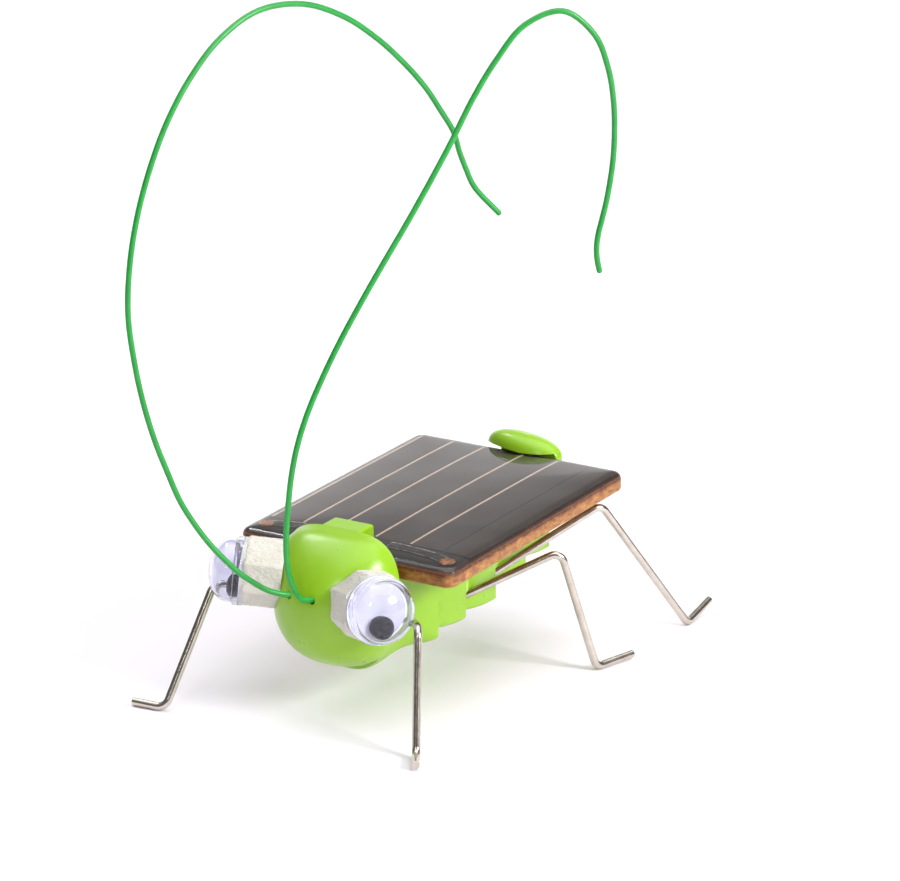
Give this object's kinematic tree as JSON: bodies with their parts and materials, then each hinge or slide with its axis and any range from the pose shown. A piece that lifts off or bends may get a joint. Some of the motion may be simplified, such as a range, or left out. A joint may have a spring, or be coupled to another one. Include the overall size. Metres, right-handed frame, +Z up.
{
  "type": "solar robot kit",
  "caption": "Solar-powered grasshopper kit: a flat panel on a ringed body with bent wire legs, domed eyes with loose pupils, long curled feelers and a vibrating motor.",
  "frame": {"origin": "on the ground, on the body's middle plane, under the centre of the panel's length", "axes": "+Z up, the head points along -Y, +X is the insect's left side"},
  "size_m": [0.0466, 0.0764, 0.0856],
  "materials": {
    "green_plastic": "satin-gloss moulded lime green plastic",
    "board_laminate": "orange-brown paper laminate with a rough cut edge",
    "silicon": "dark brown-grey silicon",
    "contact_silver": "thin fired silver paste",
    "tinned_strip": "tinned copper strip",
    "copper_pad": "copper joint under the resin",
    "clear_epoxy": "poured clear resin, glossy",
    "motor_steel": "plain drawn steel",
    "bronze": "sintered bronze",
    "magnet": "dark magnet",
    "copper_winding": "enamelled copper",
    "white_nylon": "natural nylon",
    "shaft_steel": "polished shaft",
    "weight_metal": "pressed metal powder",
    "red_insulation": "satin insulation",
    "black_insulation": "satin insulation",
    "solder": "bright solder",
    "foam": "off-white foam tape, cut by hand",
    "white_plastic": "white card-like plastic",
    "clear_plastic": "clear polystyrene blister",
    "black_plastic": "polished black plastic",
    "nickel_wire": "nickel-plated steel wire",
    "feeler_coating": "green plastic coating on a stiff wire"
  },
  "bodies": {
    "root": {"body_shell": "green_plastic", "bus_solder_left": "copper_pad", "bus_solder_right": "copper_pad", "bus_strip_left": "tinned_strip", "bus_strip_right": "tinned_strip", "cell_contact_lines": "contact_silver", "epoxy_cover": "clear_epoxy", "eye_back_left": "white_plastic", "eye_back_right": "white_plastic", "eye_dome_left": "clear_plastic", "eye_dome_right": "clear_plastic", "foam_pad_left": "foam", "foam_pad_right": "foam", "head_shell": "green_plastic", "lead_solder_joints": "solder", "lead_wire_black": "black_insulation", "lead_wire_red": "red_insulation", "motor_brushes": "bronze", "motor_bush": "bronze", "motor_can": "motor_steel", "motor_end_cap": "white_nylon", "motor_magnet": "magnet", "panel_board": "board_laminate", "solar_cells": "silicon"},
    "motor_rotor": {"motor_shaft": "shaft_steel", "motor_coil": "copper_winding", "eccentric_weight": "weight_metal"},
    "feeler_left": {"feeler_left": "feeler_coating"},
    "feeler_right": {"feeler_right": "feeler_coating"},
    "leg_front_left": {"leg_front_left": "nickel_wire"},
    "leg_front_right": {"leg_front_right": "nickel_wire"},
    "leg_middle_left": {"leg_middle_left": "nickel_wire"},
    "leg_middle_right": {"leg_middle_right": "nickel_wire"},
    "leg_rear_left": {"leg_rear_left": "nickel_wire"},
    "leg_rear_right": {"leg_rear_right": "nickel_wire"},
    "pupil_left": {"pupil_left": "black_plastic"},
    "pupil_right": {"pupil_right": "black_plastic"}
  },
  "joints": [
    {"name": "motor_spin", "type": "hinge", "parent": "root", "child": "motor_rotor", "pos_m": [0, 0.00034, 0.01341], "axis": [0, 0.9988, 0.0495], "continuous": true},
    {"name": "pupil_left_swing", "type": "hinge", "parent": "root", "child": "pupil_left", "pos_m": [0.00945, -0.0269, 0.0161], "axis": [0.8613, -0.4973, 0.1045], "continuous": true},
    {"name": "pupil_right_swing", "type": "hinge", "parent": "root", "child": "pupil_right", "pos_m": [-0.00945, -0.0269, 0.0174], "axis": [-0.8613, -0.4973, 0.1045], "continuous": true},
    {"name": "leg_front_left_twist", "type": "hinge", "parent": "root", "child": "leg_front_left", "pos_m": [0.008, -0.0176, 0.01195], "axis": [0.6013, -0.7628, 0.2378], "range_deg": [-20, 20]},
    {"name": "leg_front_right_twist", "type": "hinge", "parent": "root", "child": "leg_front_right", "pos_m": [-0.008, -0.0176, 0.01195], "axis": [-0.6013, -0.7628, 0.2378], "range_deg": [-20, 20]},
    {"name": "leg_middle_left_twist", "type": "hinge", "parent": "root", "child": "leg_middle_left", "pos_m": [0.007, -0.0034, 0.0108], "axis": [0.6986, 0.5954, 0.3969], "range_deg": [-20, 20]},
    {"name": "leg_middle_right_twist", "type": "hinge", "parent": "root", "child": "leg_middle_right", "pos_m": [-0.007, -0.0034, 0.0108], "axis": [-0.6986, 0.5954, 0.3969], "range_deg": [-20, 20]},
    {"name": "leg_rear_left_twist", "type": "hinge", "parent": "root", "child": "leg_rear_left", "pos_m": [0.0065, 0.0045, 0.0116], "axis": [0.5211, 0.7296, 0.4429], "range_deg": [-15, 15]},
    {"name": "leg_rear_right_twist", "type": "hinge", "parent": "root", "child": "leg_rear_right", "pos_m": [-0.0065, 0.0045, 0.0116], "axis": [-0.5211, 0.7296, 0.4429], "range_deg": [-15, 15]},
    {"name": "feeler_left_twist", "type": "hinge", "parent": "root", "child": "feeler_left", "pos_m": [0.0017, -0.0289, 0.0163], "axis": [0.0583, -0.9915, -0.1166], "range_deg": [-10, 10]},
    {"name": "feeler_right_twist", "type": "hinge", "parent": "root", "child": "feeler_right", "pos_m": [-0.0017, -0.0289, 0.0163], "axis": [-0.2825, -0.9282, 0.2421], "range_deg": [-10, 10]}
  ]
}
